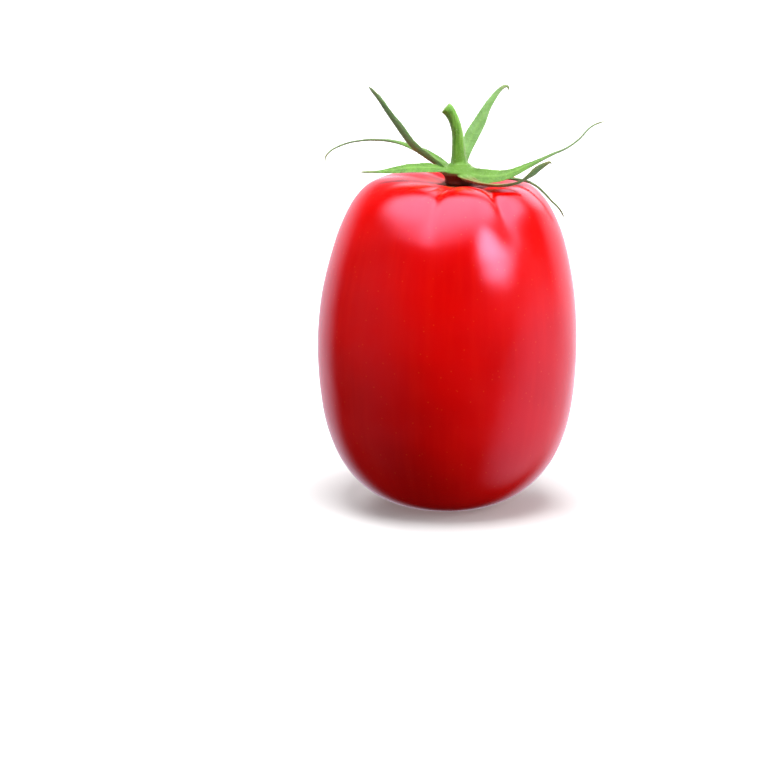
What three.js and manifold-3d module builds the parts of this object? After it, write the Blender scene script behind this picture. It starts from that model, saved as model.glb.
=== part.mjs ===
// A plum tomato that stands upright on its blossom end: the red fruit, the green calyx and the cut stem.
// Millimetres, +Z up. The origin is the centre of the small flat spot that the fruit stands on.
// -Y is the front, +X the right-hand side.
import * as THREE from "three";
import { mergeVertices } from "three/addons/utils/BufferGeometryUtils.js";
import Module from "manifold-3d";

const wasm = await Module();
wasm.setup();

// Driving dimensions of the fruit
const FRUIT_RADIUS = 26.55;
const FRUIT_HEIGHT = 67.5;
const FLAT_RADIUS = 7; // the flat spot at the blossom end
const CAVITY_RADIUS = 3.8; // the level floor under the calyx
const CAVITY_DEPTH = 1.2;
const FRUIT_SIDES = 60;
const FRUIT_ROWS = 38;

// The stem end isn't quite over the blossom end: the cavity sits off the middle by this much, the shoulders
// by SHOULDER_SHARE of it. One shoulder also stands a little higher than the other.
const LEAN_X = 2.4;
const LEAN_Y = -1.0;
const SHOULDER_SHARE = 0.3;
const HIGH_SHOULDER = 0.3;
const HIGH_SHOULDER_ANGLE = 185;

// Shallow furrows run from the cavity over the shoulders, at these angles from +X, in degrees.
const FURROWS = [
  { angle: 12, depth: 0.4 },
  { angle: 68, depth: 0.7 },
  { angle: 118, depth: 0.6 },
  { angle: 163, depth: 0.3 },
  { angle: 212, depth: 0.3 },
  { angle: 257, depth: 1.0 },
  { angle: 302, depth: 0.9 },
];
const FURROW_WIDTH = 11; // half width, in degrees

// The fruit isn't quite round: shares of the radius by which two, three and four soft sides stand out.
const SOFT_SIDES = [
  { count: 2, share: 0.006, angle: 20 },
  { count: 3, share: 0.009, angle: 95 },
  { count: 4, share: 0.006, angle: 60 },
];

// Driving dimensions of the calyx. Its hub stands on the cavity floor and holds the stem in a shallow cup.
const GAP = 0.3; // between pieces that touch
const HUB_FOOT_RADIUS = 3.1;
const HUB_RADIUS = 4.0;
const COLLAR_HEIGHT = 1.1;
const CUP_RADIUS = 1.85;
const CUP_FLOOR = 0.35; // over the top of the rim
const SEPAL_LEVEL = 69.2; // height of the middle of the sepals where they leave the hub
const SEPAL_THICKNESS = 0.62;
const SEPAL_COLUMNS = 4;
const HUB_SIDES = 36;

// Each sepal's middle line, from its root in the hub to its tip, as [x, y, z] from the centre of the hub at
// SEPAL_LEVEL. halfWidths and turns are evenly spaced along it: half its width, and the turn about its own
// length in degrees. cup is how far its edges rise over its middle, as a share of its half width.
const SEPALS = [
  {
    where: "left, stiffly upright",
    halfWidths: [1.15, 1.3, 1.2, 1.1, 0.95, 0.72, 0.4],
    turns: [0, 20, 38, 42, 42, 42, 42],
    cup: 0.3,
    line: [
      [-1.5, 0, 0.1], [-3.4, -0.3, 0.6], [-5.0, -0.7, 1.7], [-7.4, -1.1, 3.5],
      [-9.5, -1.4, 5.3], [-11.8, -1.6, 8.4], [-14.1, -1.7, 11.6], [-16.4, -1.9, 14.9],
      [-18.4, -2.0, 17.3],
    ],
  },
  {
    where: "left, long and thin with a drooping tip",
    halfWidths: [1.3, 1.45, 0.8, 0.36, 0.31, 0.31, 0.31],
    turns: [0, -12, -18, -18, -18, -18, -18],
    cup: 0.3,
    line: [
      [-1.4, 1.5, 0.1], [-2.6, 2.5, 0.5], [-4.5, 3.6, 1.4], [-6.7, 4.6, 2.6],
      [-9.9, 5.8, 4.0], [-13.2, 6.6, 4.9], [-16.4, 7.0, 5.2], [-19.7, 7.0, 5.1],
      [-22.9, 7.0, 4.5], [-26.0, 6.7, 3.1], [-27.1, 6.4, 1.8], [-27.1, 6.2, 0.5],
    ],
  },
  {
    where: "left, lying low over the shoulder",
    halfWidths: [1.3, 1.5, 1.6, 1.4, 0.95, 0.5, 0.31],
    turns: [-8, -22, -34, -34, -30, -25, -20],
    cup: 0.2,
    line: [
      [-1.5, -1.2, 0], [-4.0, -2.4, 0.5], [-6.8, -3.4, 0.9], [-10.0, -4.0, 0.9],
      [-13.2, -4.4, 0.6], [-16.4, -4.6, 0.4], [-20.2, -4.8, 0.4],
    ],
  },
  {
    where: "right, upright behind the stem",
    halfWidths: [0.9, 1.3, 1.6, 1.4, 0.95, 0.6, 0.31],
    turns: [0, 0, 0, 0, 0, 0, 0],
    cup: 0.3,
    line: [
      [0.5, 1.9, 0.1], [0.8, 3.1, 1.5], [1.7, 4.3, 4.2], [2.9, 5.1, 6.7],
      [4.3, 5.6, 9.1], [5.9, 6.2, 12.3], [8.1, 6.7, 15.3], [9.1, 6.8, 16.1],
      [9.8, 6.8, 16.2], [10.1, 6.7, 15.2],
    ],
  },
  {
    where: "right, the longest, rising outwards",
    halfWidths: [2.1, 2.0, 1.25, 0.65, 0.31, 0.31, 0.31],
    turns: [25, 40, 34, 28, 24, 20, 20],
    cup: 0.25,
    line: [
      [0.8, -2.0, 0], [2.4, -4.0, -0.4], [4.3, -5.4, -0.6], [6.5, -6.0, -0.5],
      [8.5, -5.9, -0.3], [10.9, -5.3, 0.4], [13.9, -4.8, 1.7], [18.7, -3.7, 3.9],
      [21.2, -3.2, 4.9], [23.6, -2.6, 6.5], [26.0, -1.9, 8.9], [27.2, -1.6, 9.6],
      [29.4, -1.0, 10.2],
    ],
  },
  {
    where: "front right, low, then turned up on edge",
    halfWidths: [1.3, 1.3, 1.0, 0.85, 0.9, 1.0, 0.31],
    turns: [12, 0, -12, -14, -36, -72, -72],
    cup: 0.3,
    line: [
      [0.2, -2.2, -0.1], [1.2, -5.2, -0.8], [3.1, -8.2, -1.3], [5.8, -10.2, -1.5],
      [8.4, -10.6, -1.5], [10.4, -10.0, -1.3], [12.0, -9.0, -0.9], [13.4, -8.0, -0.2],
      [14.6, -7.1, 0.5], [15.7, -6.4, 1.3], [16.9, -5.8, 2.0], [17.9, -5.3, 2.4],
      [18.4, -5.0, 1.8],
    ],
  },
  {
    where: "right, hanging down over the shoulder",
    halfWidths: [0.8, 0.85, 0.6, 0.38, 0.31, 0.31, 0.31],
    turns: [0, 0, 0, 0, 0, 0, 0],
    cup: 0.2,
    line: [
      [1.9, -0.4, -0.1], [3.7, -1.1, -0.5], [6.1, -2.0, -0.8], [9.1, -2.8, -1.1],
      [11.7, -3.4, -1.4], [13.5, -3.8, -1.7], [15.3, -4.1, -2.6], [16.9, -4.1, -4.0],
      [18.4, -3.9, -5.6], [19.8, -3.4, -7.0], [20.6, -2.9, -8.2], [21.1, -2.4, -9.4],
    ],
  },
];

// The stem's middle line, from [x, y, z] 0 at the centre of the hub, and its radii from foot to cut end
const STEM_LINE = [
  [0, 0, 0], [-0.25, 0, 3.4], [-0.4, 0, 6.1], [-0.9, -0.2, 8.4],
  [-1.6, -0.3, 10.1], [-2.3, -0.4, 11.2], [-2.8, -0.4, 11.65],
];
const STEM_RADII = [1.5, 1.36, 1.2, 1.14, 1.1, 1.06, 1.08, 1.18, 1.25];
const STEM_SIDES = 20;
const STEM_ROWS = 24;
const CUT_BEVEL = 0.15;

// A number that rises smoothly from 0 at low to 1 at high
function rise(value, low, high) {
  return THREE.MathUtils.smoothstep(value, low, high);
}

function cosine(degrees) {
  return Math.cos(THREE.MathUtils.degToRad(degrees));
}

function curveThrough(points) {
  return new THREE.CatmullRomCurve3(points.map((p) => new THREE.Vector3(...p)));
}

// Directions along a curve that turn with it and never spin about it: at each row its place, its tangent,
// the side direction and the face direction, which starts as near to up as it can.
function framesAlong(curve, rows, up) {
  const frames = [];
  let tangent = curve.getTangentAt(0);
  let face = up.clone().addScaledVector(tangent, -up.dot(tangent)).normalize();
  for (let row = 0; row <= rows; row++) {
    const next = curve.getTangentAt(row / rows);
    face = face.clone().applyQuaternion(new THREE.Quaternion().setFromUnitVectors(tangent, next));
    tangent = next;
    const side = new THREE.Vector3().crossVectors(tangent, face);
    frames.push({ place: curve.getPointAt(row / rows), tangent, side, face });
  }
  return frames;
}

// The fruit's outline, from the middle of the flat spot up over the shoulder to the middle of the cavity.
// Each point is [radius, height], as shares of FRUIT_RADIUS and FRUIT_HEIGHT where it isn't a named size.
function fruitOutline() {
  const belly = [
    [0.44, 0.014], [0.64, 0.058], [0.81, 0.135], [0.925, 0.24], [0.982, 0.365], [1.0, 0.5],
    [0.974, 0.643], [0.912, 0.766], [0.829, 0.868], [0.722, 0.945], [0.6, 0.988], [0.43, 1.0],
  ].map(([radius, height]) => [radius * FRUIT_RADIUS, height * FRUIT_HEIGHT, 0]);
  const floor = FRUIT_HEIGHT - CAVITY_DEPTH;
  const intoCavity = [1.7 * CAVITY_RADIUS, floor + 0.5 * CAVITY_DEPTH, 0];
  const side = curveThrough([[FLAT_RADIUS, 0, 0], ...belly, intoCavity, [CAVITY_RADIUS, floor, 0]]);
  const points = side.getSpacedPoints(FRUIT_ROWS).map((p) => new THREE.Vector2(p.x, Math.max(p.y, 0)));
  return [new THREE.Vector2(0, 0), ...points, new THREE.Vector2(0, floor)];
}

function furrowAt(angle) {
  let depth = 0;
  for (const furrow of FURROWS) {
    const away = THREE.MathUtils.euclideanModulo(angle - furrow.angle + 180, 360) - 180;
    depth += furrow.depth * Math.exp(-((away / FURROW_WIDTH) ** 2));
  }
  return depth;
}

// A round fruit is turned from its outline, then furrowed, made a little out of round, and leaned.
function makeFruit() {
  const turned = new THREE.LatheGeometry(fruitOutline(), FRUIT_SIDES).rotateX(Math.PI / 2);
  const place = turned.getAttribute("position");
  for (let i = 0; i < place.count; i++) {
    const radius = Math.hypot(place.getX(i), place.getY(i));
    const angle = Math.atan2(place.getY(i), place.getX(i));
    const height = place.getZ(i);
    const degrees = THREE.MathUtils.radToDeg(angle);
    const outOfCavity = rise(radius, CAVITY_RADIUS, 8.5);
    const onShoulder = outOfCavity * rise(height, 0.66 * FRUIT_HEIGHT, 0.97 * FRUIT_HEIGHT);
    const furrow = onShoulder * furrowAt(degrees);
    const higher = HIGH_SHOULDER * onShoulder * cosine(degrees - HIGH_SHOULDER_ANGLE);
    const aboveFlat = rise(height, 0, 0.2 * FRUIT_HEIGHT);
    let round = 1;
    for (const { count, share, angle: first } of SOFT_SIDES)
      round += share * aboveFlat * cosine(count * (degrees - first));
    const nearStem = 1 - rise(radius, CAVITY_RADIUS, 0.7 * FRUIT_RADIUS);
    const leanShare = THREE.MathUtils.lerp(SHOULDER_SHARE, 1, nearStem);
    const lean = leanShare * rise(height, 0.5 * FRUIT_HEIGHT, FRUIT_HEIGHT - CAVITY_DEPTH);
    const outward = radius > CAVITY_RADIUS ? radius * round - 0.5 * furrow : radius;
    place.setXYZ(
      i,
      outward * Math.cos(angle) + LEAN_X * lean,
      outward * Math.sin(angle) + LEAN_Y * lean,
      height - 0.7 * furrow + higher,
    );
  }
  return turned;
}

// The hub: a foot on the cavity floor, a thin rim that the sepals grow out of, and a collar round the stem.
function makeHub() {
  const foot = FRUIT_HEIGHT - CAVITY_DEPTH + GAP;
  const under = SEPAL_LEVEL - 0.5 * SEPAL_THICKNESS;
  const over = SEPAL_LEVEL + 0.5 * SEPAL_THICKNESS;
  const neck = [[0, foot], [HUB_FOOT_RADIUS, foot], [HUB_FOOT_RADIUS, under - 0.4]];
  const rim = [
    [HUB_RADIUS - 0.3, under], [HUB_RADIUS, under + 0.2],
    [HUB_RADIUS, over - 0.1], [HUB_RADIUS - 0.4, over + 0.05],
  ];
  const collar = [[CUP_RADIUS + 0.9, over + 0.4], [CUP_RADIUS + 0.35, over + COLLAR_HEIGHT]];
  const cup = [[CUP_RADIUS, over + COLLAR_HEIGHT], [CUP_RADIUS, over + CUP_FLOOR], [0, over + CUP_FLOOR]];
  const outline = [...neck, ...rim, ...collar, ...cup].map(([r, z]) => new THREE.Vector2(r, z));
  return new THREE.LatheGeometry(outline, HUB_SIDES).rotateX(Math.PI / 2).translate(LEAN_X, LEAN_Y, 0);
}

// A value at a share from 0 to 1 of one smooth line through evenly spaced values
function lineOf(values) {
  const line = curveThrough(values.map((value, i) => [i, value, 0]));
  return (share) => line.getPoint(share).y;
}

// One sepal: a thin closed blade whose two faces are split into triangles alike
function makeSepal({ line, halfWidths, turns, cup }) {
  const curve = curveThrough(line);
  const rows = Math.round(curve.getLength() / 1.4);
  const frames = framesAlong(curve, rows, new THREE.Vector3(0, 0, 1));
  const halfWidthAt = lineOf(halfWidths);
  const turnAt = lineOf(turns);
  const vertices = [];
  const columns = SEPAL_COLUMNS;
  frames.forEach(({ place, side, face, tangent }, row) => {
    const along = row / rows;
    const width = Math.max(halfWidthAt(along), 0.5 * SEPAL_THICKNESS);
    const turn = THREE.MathUtils.degToRad(turnAt(along));
    const across = side.clone().applyAxisAngle(tangent, turn);
    const outward = face.clone().applyAxisAngle(tangent, turn);
    for (const layer of [0.5, -0.5])
      for (let column = 0; column <= columns; column++) {
        const share = (2 * column) / columns - 1;
        const lift = cup * width * share * share * rise(along, 0, 0.15) + layer * SEPAL_THICKNESS;
        const point = place.clone().addScaledVector(across, width * share).addScaledVector(outward, lift);
        vertices.push(point.x + LEAN_X, point.y + LEAN_Y, point.z + SEPAL_LEVEL);
      }
  });
  const layerSize = columns + 1;
  const at = (row, layer, column) => row * 2 * layerSize + layer * layerSize + column;
  const faces = [];
  const quad = (a, b, c, d) => faces.push(a, b, c, a, c, d);
  for (let row = 0; row < rows; row++) {
    for (let column = 0; column < columns; column++) {
      const upper = [
        at(row, 0, column), at(row, 0, column + 1),
        at(row + 1, 0, column + 1), at(row + 1, 0, column),
      ];
      quad(...upper);
      const [e, f, g, h] = upper.map((corner) => corner + layerSize);
      faces.push(e, g, f, e, h, g);
    }
    quad(at(row, 0, 0), at(row + 1, 0, 0), at(row + 1, 1, 0), at(row, 1, 0));
    quad(at(row, 0, columns), at(row, 1, columns), at(row + 1, 1, columns), at(row + 1, 0, columns));
  }
  for (let column = 0; column < columns; column++) {
    quad(at(0, 0, column), at(0, 1, column), at(0, 1, column + 1), at(0, 0, column + 1));
    quad(at(rows, 0, column), at(rows, 0, column + 1), at(rows, 1, column + 1), at(rows, 1, column));
  }
  const geometry = new THREE.BufferGeometry();
  geometry.setAttribute("position", new THREE.Float32BufferAttribute(vertices, 3));
  geometry.setIndex(faces);
  return geometry;
}

// A closed geometry as a solid that can be joined to others
function solidFrom(geometry) {
  const bare = new THREE.BufferGeometry();
  bare.setAttribute("position", geometry.getAttribute("position"));
  bare.setIndex(geometry.index);
  const merged = mergeVertices(bare, 1e-4);
  return new wasm.Manifold(
    new wasm.Mesh({
      numProp: 3,
      vertProperties: merged.getAttribute("position").array,
      triVerts: new Uint32Array(merged.index.array),
    }),
  );
}

function geometryFrom(solid) {
  const { vertProperties, triVerts } = solid.getMesh();
  const geometry = new THREE.BufferGeometry();
  geometry.setAttribute("position", new THREE.BufferAttribute(vertProperties, 3));
  geometry.setIndex(new THREE.BufferAttribute(triVerts, 1));
  return geometry;
}

function makeCalyx() {
  let calyx = solidFrom(makeHub());
  for (const sepal of SEPALS) calyx = calyx.add(solidFrom(makeSepal(sepal)));
  return geometryFrom(calyx);
}

// The stem is turned straight, then bent along its middle line. It stands in the hub's cup.
function makeStem() {
  const curve = curveThrough(STEM_LINE);
  const frames = framesAlong(curve, STEM_ROWS, new THREE.Vector3(1, 0, 0));
  const radiusAt = lineOf(STEM_RADII);
  const outline = [new THREE.Vector2(0, 0)];
  for (let row = 0; row <= STEM_ROWS; row++)
    outline.push(new THREE.Vector2(radiusAt(row / STEM_ROWS), row));
  outline.push(new THREE.Vector2(outline.at(-1).x - 2 * CUT_BEVEL, STEM_ROWS));
  outline.push(new THREE.Vector2(0, STEM_ROWS));
  const turned = new THREE.LatheGeometry(outline, STEM_SIDES);
  const place = turned.getAttribute("position");
  const foot = SEPAL_LEVEL + 0.5 * SEPAL_THICKNESS + CUP_FLOOR + GAP + 0.1;
  for (let i = 0; i < place.count; i++) {
    const frame = frames[Math.round(place.getY(i))];
    const isCutFace = i % outline.length > outline.length - 3;
    const point = frame.place
      .clone()
      .addScaledVector(frame.side, place.getX(i))
      .addScaledVector(frame.face, place.getZ(i))
      .addScaledVector(frame.tangent, isCutFace ? CUT_BEVEL : 0);
    place.setXYZ(i, point.x + LEAN_X, point.y + LEAN_Y, point.z + foot);
  }
  return turned;
}

function named(name, geometry, color, roughness) {
  geometry.deleteAttribute("normal");
  geometry.deleteAttribute("uv");
  const whole = mergeVertices(geometry, 1e-4);
  whole.computeVertexNormals();
  const material = new THREE.MeshStandardMaterial({ color, roughness, metalness: 0 });
  const mesh = new THREE.Mesh(whole, material);
  mesh.name = name;
  return mesh;
}

const tomato = new THREE.Group();
tomato.add(
  named("fruit", makeFruit(), 0xd3160d, 0.25),
  named("calyx", makeCalyx(), 0x7fb858, 0.7),
  named("stem", makeStem(), 0x6ea33f, 0.65),
);

export default tomato;
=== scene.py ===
# %% [markdown]
# # A ripe plum tomato, standing on its blossom end
# The real thing is one smooth red fruit. On top of it sits the green calyx, a small disc with seven narrow
# sepals, and out of its middle comes the short bent stalk that the fruit hung from.
# The CAD solids give every size and place. This file makes the finer skins over them, their colours and the
# light. All of it is in the frame of the solids: metres, +Z up, -Y to the viewer, and the origin in the
# middle of the spot that the fruit stands on.

# %% The tools and the frame
import math
import random

import bmesh
import bpy
import numpy as np
from mathutils import Matrix, Quaternion, Vector, noise


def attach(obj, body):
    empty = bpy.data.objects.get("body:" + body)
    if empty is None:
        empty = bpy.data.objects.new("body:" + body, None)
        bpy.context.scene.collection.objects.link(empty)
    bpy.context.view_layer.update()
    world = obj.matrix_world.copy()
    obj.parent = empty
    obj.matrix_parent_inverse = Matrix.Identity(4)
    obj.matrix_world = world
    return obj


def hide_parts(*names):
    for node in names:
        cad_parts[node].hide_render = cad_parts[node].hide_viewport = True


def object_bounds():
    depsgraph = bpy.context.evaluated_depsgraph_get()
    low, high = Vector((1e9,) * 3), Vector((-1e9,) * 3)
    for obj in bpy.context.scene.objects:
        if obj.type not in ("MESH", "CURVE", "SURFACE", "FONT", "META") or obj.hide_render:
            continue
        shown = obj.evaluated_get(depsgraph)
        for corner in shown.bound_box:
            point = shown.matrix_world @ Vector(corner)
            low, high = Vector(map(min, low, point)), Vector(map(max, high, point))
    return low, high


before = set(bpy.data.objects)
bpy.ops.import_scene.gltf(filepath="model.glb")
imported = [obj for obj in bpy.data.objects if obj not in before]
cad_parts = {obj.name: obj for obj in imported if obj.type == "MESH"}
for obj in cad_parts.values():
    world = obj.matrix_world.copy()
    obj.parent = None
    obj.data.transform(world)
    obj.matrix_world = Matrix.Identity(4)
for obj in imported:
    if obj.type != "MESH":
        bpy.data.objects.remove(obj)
cad_box = [list(corner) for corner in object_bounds()]
print("nodes", sorted(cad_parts), "box", cad_box)

# %% [markdown]
# ## From millimetres to a piece
# A garden fruit is measured in millimetres, and small numbers such as 0.0004 are easy to get wrong. So every
# shape below is modelled in millimetres and shrunk once, when it becomes a piece. Its place stays in its
# mesh, so that the object itself needs no move, turn or scale, and patterns in its material stay put.

# %% Helpers for every piece
MM = 0.001


def rise(value, low, high):
    """Rises smoothly from 0 at low to 1 at high."""
    share = min(max((value - low) / (high - low), 0.0), 1.0)
    return share * share * (3.0 - 2.0 * share)


def piece_from(name, mesh, material):
    """Shrinks a mesh from millimetres to metres and makes it a smooth piece of the fruit's body."""
    mesh.transform(Matrix.Scale(MM, 4))
    mesh.shade_smooth()
    mesh.materials.append(material)
    piece = bpy.data.objects.new(name, mesh)
    bpy.context.scene.collection.objects.link(piece)
    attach(piece, "root")
    print(name, len(mesh.vertices), "vertices", len(mesh.polygons), "faces")
    return piece


def mesh_from(name, bm):
    """Turns finished bmesh work into a mesh, and frees the bmesh."""
    mesh = bpy.data.meshes.new(name)
    bm.to_mesh(mesh)
    bm.free()
    return mesh


print("one millimetre is", MM, "metres")

# %% [markdown]
# ## Smooth lines
# The outline of the fruit, the middle of each sepal and the bend of the stalk are smooth lines through a few
# measured points. A curve object could draw them, but then its points are hard to read back. This short
# formula, a Catmull-Rom curve, gives the points directly, and it is the one that the solids are made from.

# %% Lines through points
def smooth_point(points, share):
    """The point at a share from 0 to 1 of one smooth curve through all the points."""
    ends = [2 * points[0] - points[1], *points, 2 * points[-1] - points[-2]]
    place = min(share * (len(points) - 1), len(points) - 1 - 1e-9)
    span, t = int(place), place - int(place)
    a, b, c, d = ends[span : span + 4]
    before, here, after = ((p - q).length ** 0.5 for p, q in ((b, a), (c, b), (d, c)))
    leave = ((b - a) / before - (c - a) / (before + here) + (c - b) / here) * here
    arrive = ((c - b) / here - (d - b) / (here + after) + (d - c) / after) * here
    return (
        b + leave * t
        + (3 * (c - b) - 2 * leave - arrive) * t**2
        + (2 * (b - c) + leave + arrive) * t**3
    )


def even_points(points, steps):
    """Points at equal distances along the curve, one more than the steps, and the curve's length."""
    fine = [smooth_point(points, i / 400) for i in range(401)]
    travelled = np.concatenate([[0.0], np.cumsum([(q - p).length for p, q in zip(fine, fine[1:])])])
    shares = np.interp(np.linspace(0, travelled[-1], steps + 1), travelled, np.linspace(0, 1, 401))
    return [smooth_point(points, share) for share in shares], float(travelled[-1])


bend = [Vector((0, 0, 0)), Vector((1, 0, 1)), Vector((2, 0, 0))]
print("a smooth bend through", len(bend), "points is", round(even_points(bend, 8)[1], 3), "long")

# %% [markdown]
# ## The fruit's outline
# Seen from the side a plum tomato is a tall barrel: nearly straight flanks, broad round shoulders, and a
# shallow dip where the calyx sits. Underneath it is flattened a little, and in the middle of that spot the
# skin draws in around the small scar that the blossom left. Only half of the outline is needed, because the
# next step turns it round the middle line.

# %% Outline from the blossom scar to the stem dip
FRUIT_RADIUS = 26.46
FRUIT_HEIGHT = 67.5
CAVITY_RADIUS = 3.8
CAVITY_DEPTH = 1.2
FLAT_RADIUS = 7
OUTLINE_STEPS = 92
# Shares of the fruit's radius and of its height, from the flat spot up to the shoulder
FLANK = [
    (0.44, 0.014), (0.64, 0.058), (0.81, 0.135), (0.925, 0.24), (0.982, 0.365), (1.0, 0.5),
    (0.974, 0.643), (0.912, 0.766), (0.829, 0.868), (0.722, 0.945), (0.6, 0.988), (0.43, 1.0),
]
# Distance from the middle line and height, in the blossom scar
SCAR = [(0, 0.72), (0.35, 0.7), (0.7, 0.62), (0.95, 0.72), (1.3, 0.62), (2.2, 0.42), (3.6, 0.17), (5.2, 0.03)]

cavity_floor = FRUIT_HEIGHT - CAVITY_DEPTH
flank = [Vector((FLAT_RADIUS, 0, 0))]
flank += [Vector((r * FRUIT_RADIUS, 0, z * FRUIT_HEIGHT)) for r, z in FLANK]
flank.append(Vector((1.7 * CAVITY_RADIUS, 0, cavity_floor + 0.5 * CAVITY_DEPTH)))
flank.append(Vector((CAVITY_RADIUS, 0, cavity_floor)))
outline = [Vector((r, 0, z)) for r, z in SCAR]
outline += [Vector((p.x, 0, max(p.z, 0))) for p in even_points(flank, OUTLINE_STEPS)[0]]
outline += [Vector((2.6, 0, cavity_floor + 0.1)), Vector((1.3, 0, cavity_floor + 0.2))]
outline.append(Vector((0, 0, cavity_floor + 0.2)))
print("outline of", len(outline), "points")

# %% [markdown]
# ## Shaping the fruit
# The outline will be turned once round, as on a lathe. That alone would look like plastic, so each point is
# moved a little: soft furrows run from the dip over the shoulders, with a fine crease in the middle of the
# deep ones, one shoulder stands higher, the stem end leans, the fruit isn't quite round, and the skin has
# faint swellings that break up the reflections. Sculpting could do this by hand. A formula does the same
# and gives the same fruit each time.

# %% Where each point goes
LEAN = Vector((2.4, -1.0, 0))
FURROWS = {12: 0.4, 68: 0.7, 118: 0.6, 163: 0.3, 212: 0.3, 257: 1.0, 302: 0.9}  # angle and depth
FURROW_WIDTH, CREASE_WIDTH = 12, 4  # degrees
SOFT_SIDES = [(2, 0.006, 20), (3, 0.009, 95), (4, 0.006, 60)]  # how many, by what share, where the first is


def shaped(point):
    """Where a point of the round fruit goes on the real one."""
    radius, height = math.hypot(point.x, point.y), point.z
    angle = math.degrees(math.atan2(point.y, point.x))
    out_of_cavity = rise(radius, CAVITY_RADIUS, 8.5)
    on_shoulder = out_of_cavity * rise(height, 0.66 * FRUIT_HEIGHT, 0.97 * FRUIT_HEIGHT)
    near_top = rise(height, 0.84 * FRUIT_HEIGHT, 0.98 * FRUIT_HEIGHT)
    furrow = 0.0
    for place, depth in FURROWS.items():
        away = (angle - place + 180) % 360 - 180
        furrow += 0.75 * depth * on_shoulder * math.exp(-((away / FURROW_WIDTH) ** 2))
        crease = math.exp(-((away / CREASE_WIDTH) ** 2))
        furrow += 0.75 * depth**3 * out_of_cavity * near_top * crease
    higher = 0.3 * on_shoulder * math.cos(math.radians(angle - 185))
    above_flat = rise(height, 0, 0.2 * FRUIT_HEIGHT)
    round_share = 1.0
    for count, share, first in SOFT_SIDES:
        round_share += share * above_flat * math.cos(math.radians(count * (angle - first)))
    swelling = 0.05 * noise.noise(point / 8) + 0.02 * noise.noise(point / 3.4)
    outward = radius
    if radius > CAVITY_RADIUS:
        outward = radius * round_share - 0.5 * furrow + swelling * above_flat * out_of_cavity
    near_stem = 1 - rise(radius, CAVITY_RADIUS, 0.7 * FRUIT_RADIUS)
    lean = (0.3 + 0.7 * near_stem) * rise(height, 0.5 * FRUIT_HEIGHT, cavity_floor)
    turn = math.radians(angle)
    place = Vector((outward * math.cos(turn), outward * math.sin(turn), height - 0.7 * furrow + higher))
    return place + lean * LEAN


print("a point of the shoulder goes to", [round(c, 2) for c in shaped(Vector((20, 0, 60)))])

# %% [markdown]
# ## Turning the fruit
# Spin sweeps the outline round and joins its end to its start. At both ends of the outline all the turned
# points lie on the middle line, so they are merged into one. Then each point is sent to its place.

# %% The fruit
SKIN_STEPS = 144
bm = bmesh.new()
line = [bm.verts.new(point) for point in outline]
edges = [bm.edges.new(pair) for pair in zip(line, line[1:])]
bmesh.ops.spin(
    bm, geom=line + edges, cent=(0, 0, 0), axis=(0, 0, 1), angle=math.tau, steps=SKIN_STEPS, use_merge=True
)
bmesh.ops.remove_doubles(bm, verts=bm.verts, dist=1e-4)
bmesh.ops.recalc_face_normals(bm, faces=bm.faces)
for vert in bm.verts:
    vert.co = shaped(vert.co)
fruit_mesh = mesh_from("fruit_skin_mesh", bm)
print("fruit turned:", len(fruit_mesh.polygons), "faces")

# %% [markdown]
# ## Small helpers for materials
# A material is a tree of nodes. Writing each one in the same short way keeps the recipes readable: a node is
# named by its kind, and each of its inputs gets a number, a colour or the output of another node.

# %% Material helpers
def new_material(name):
    """A material, its tree of nodes and its shader."""
    material = bpy.data.materials.new(name)
    material.use_nodes = True
    tree = material.node_tree
    return material, tree, tree.nodes["Principled BSDF"]


def feed(tree, socket, value):
    """Gives a socket a fixed value, or links another node's output to it."""
    if isinstance(value, bpy.types.NodeSocket):
        tree.links.new(value, socket)
    else:
        socket.default_value = value


def add(tree, kind, *values, out=0, **settings):
    """Adds a node, feeds its inputs in their order, and gives back one output. None skips an input."""
    made = tree.nodes.new("ShaderNode" + kind)
    for name, value in settings.items():
        setattr(made, name, value)
    for socket, value in zip((s for s in made.inputs if s.enabled), values):
        if value is not None:
            feed(tree, socket, value)
    return made.outputs[out]


def maths(tree, operation, *values):
    return add(tree, "Math", *values, operation=operation)


def times(tree, first, second):
    return maths(tree, "MULTIPLY", first, second)


def plus(tree, first, second):
    return maths(tree, "ADD", first, second)


def vectors(tree, operation, *values, out=0):
    return add(tree, "VectorMath", *values, operation=operation, out=out)


def ramp(tree, value, low, high, first=0.0, last=1.0):
    """Goes smoothly from first, where the value is low, to last, where it is high."""
    return add(tree, "MapRange", value, low, high, first, last, interpolation_type="SMOOTHSTEP")


def blend(tree, share, under, over):
    """Mixes two colours, each a fixed one or a node's output."""
    mix = tree.nodes.new("ShaderNodeMix")
    mix.data_type = "RGBA"
    feed(tree, mix.inputs["Factor"], share)
    feed(tree, mix.inputs["A"], under)
    feed(tree, mix.inputs["B"], over)
    return next(s for s in mix.outputs if s.enabled)


def grain(tree, place, scale, detail=2.0, roughness=0.5):
    """Soft random blotches between 0 and 1, about 1 / scale metres wide."""
    texture = tree.nodes.new("ShaderNodeTexNoise")
    feed(tree, texture.inputs["Vector"], place)
    for name, value in (("Scale", scale), ("Detail", detail), ("Roughness", roughness)):
        texture.inputs[name].default_value = value
    return texture.outputs["Fac"]


def set_fixed(shader, values):
    """Sets the inputs of a shader that are the same all over the piece."""
    for name, value in values.items():
        shader.inputs[name].default_value = value


def add_bump(tree, shader, relief, strength, distance):
    """Tilts the light as a relief would whose highest points stand the distance, in metres, proud."""
    bump = tree.nodes.new("ShaderNodeBump")
    set_fixed(bump, {"Strength": strength, "Distance": distance})
    feed(tree, bump.inputs["Height"], relief)
    feed(tree, shader.inputs["Normal"], bump.outputs["Normal"])


print("material helpers ready")

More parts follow.
